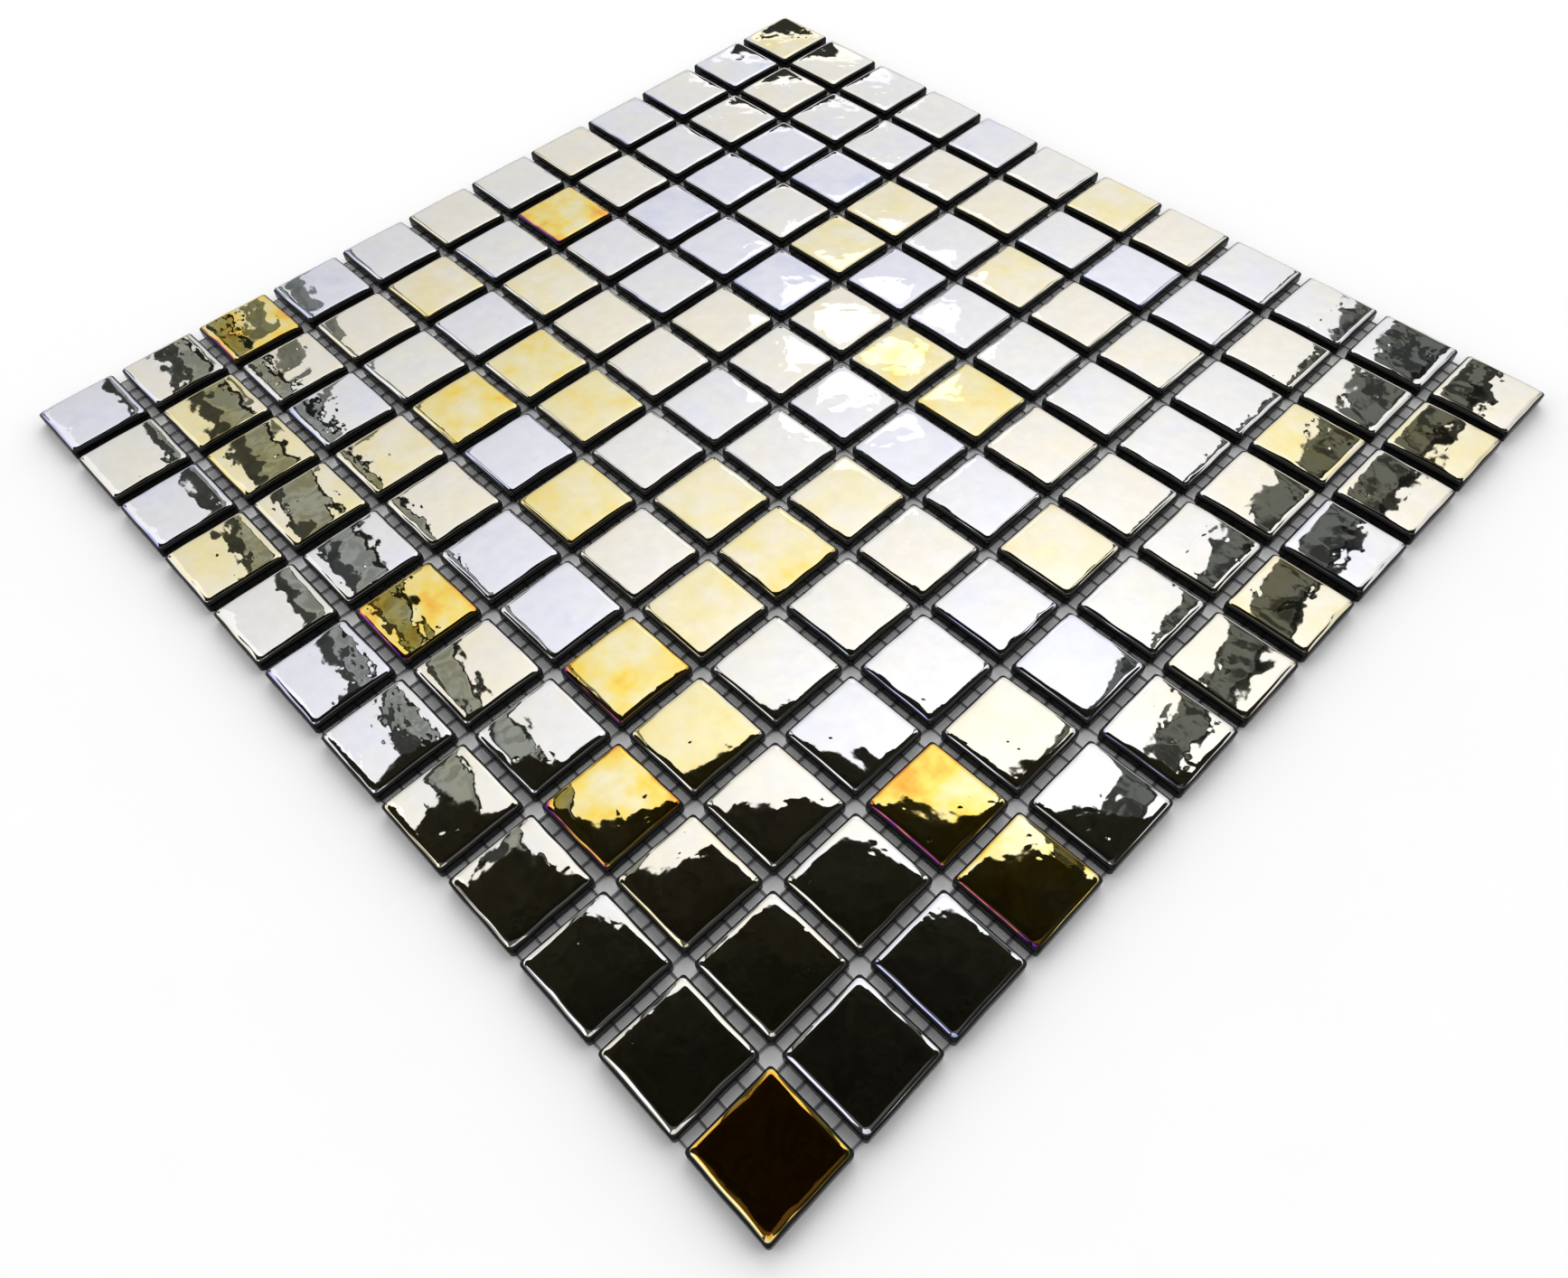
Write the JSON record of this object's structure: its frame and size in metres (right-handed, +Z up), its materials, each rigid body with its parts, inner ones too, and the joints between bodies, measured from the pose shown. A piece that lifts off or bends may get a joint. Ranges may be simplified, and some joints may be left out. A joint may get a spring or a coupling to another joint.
{
  "type": "mosaic tile sheet",
  "caption": "Square sheet of small lustre-coated glass mosaic tiles set in straight rows with open joints on a thin glass fibre backing net.",
  "frame": {"origin": "middle of the underside of the backing net", "axes": "+Z up out of the coated faces of the tiles; X along a row of tiles, Y from row to row"},
  "size_m": [0.3034, 0.3034, 0.0045],
  "materials": {
    "lustre_glass": "gloss",
    "net_yarn": "satin"
  },
  "bodies": {
    "root": {"tile_row_01": "lustre_glass", "tile_row_02": "lustre_glass", "tile_row_03": "lustre_glass", "tile_row_04": "lustre_glass", "tile_row_05": "lustre_glass", "tile_row_06": "lustre_glass", "tile_row_07": "lustre_glass", "tile_row_08": "lustre_glass", "tile_row_09": "lustre_glass", "tile_row_10": "lustre_glass", "tile_row_11": "lustre_glass", "tile_row_12": "lustre_glass", "net_lower_yarns": "net_yarn", "net_upper_yarns": "net_yarn"}
  },
  "joints": []
}
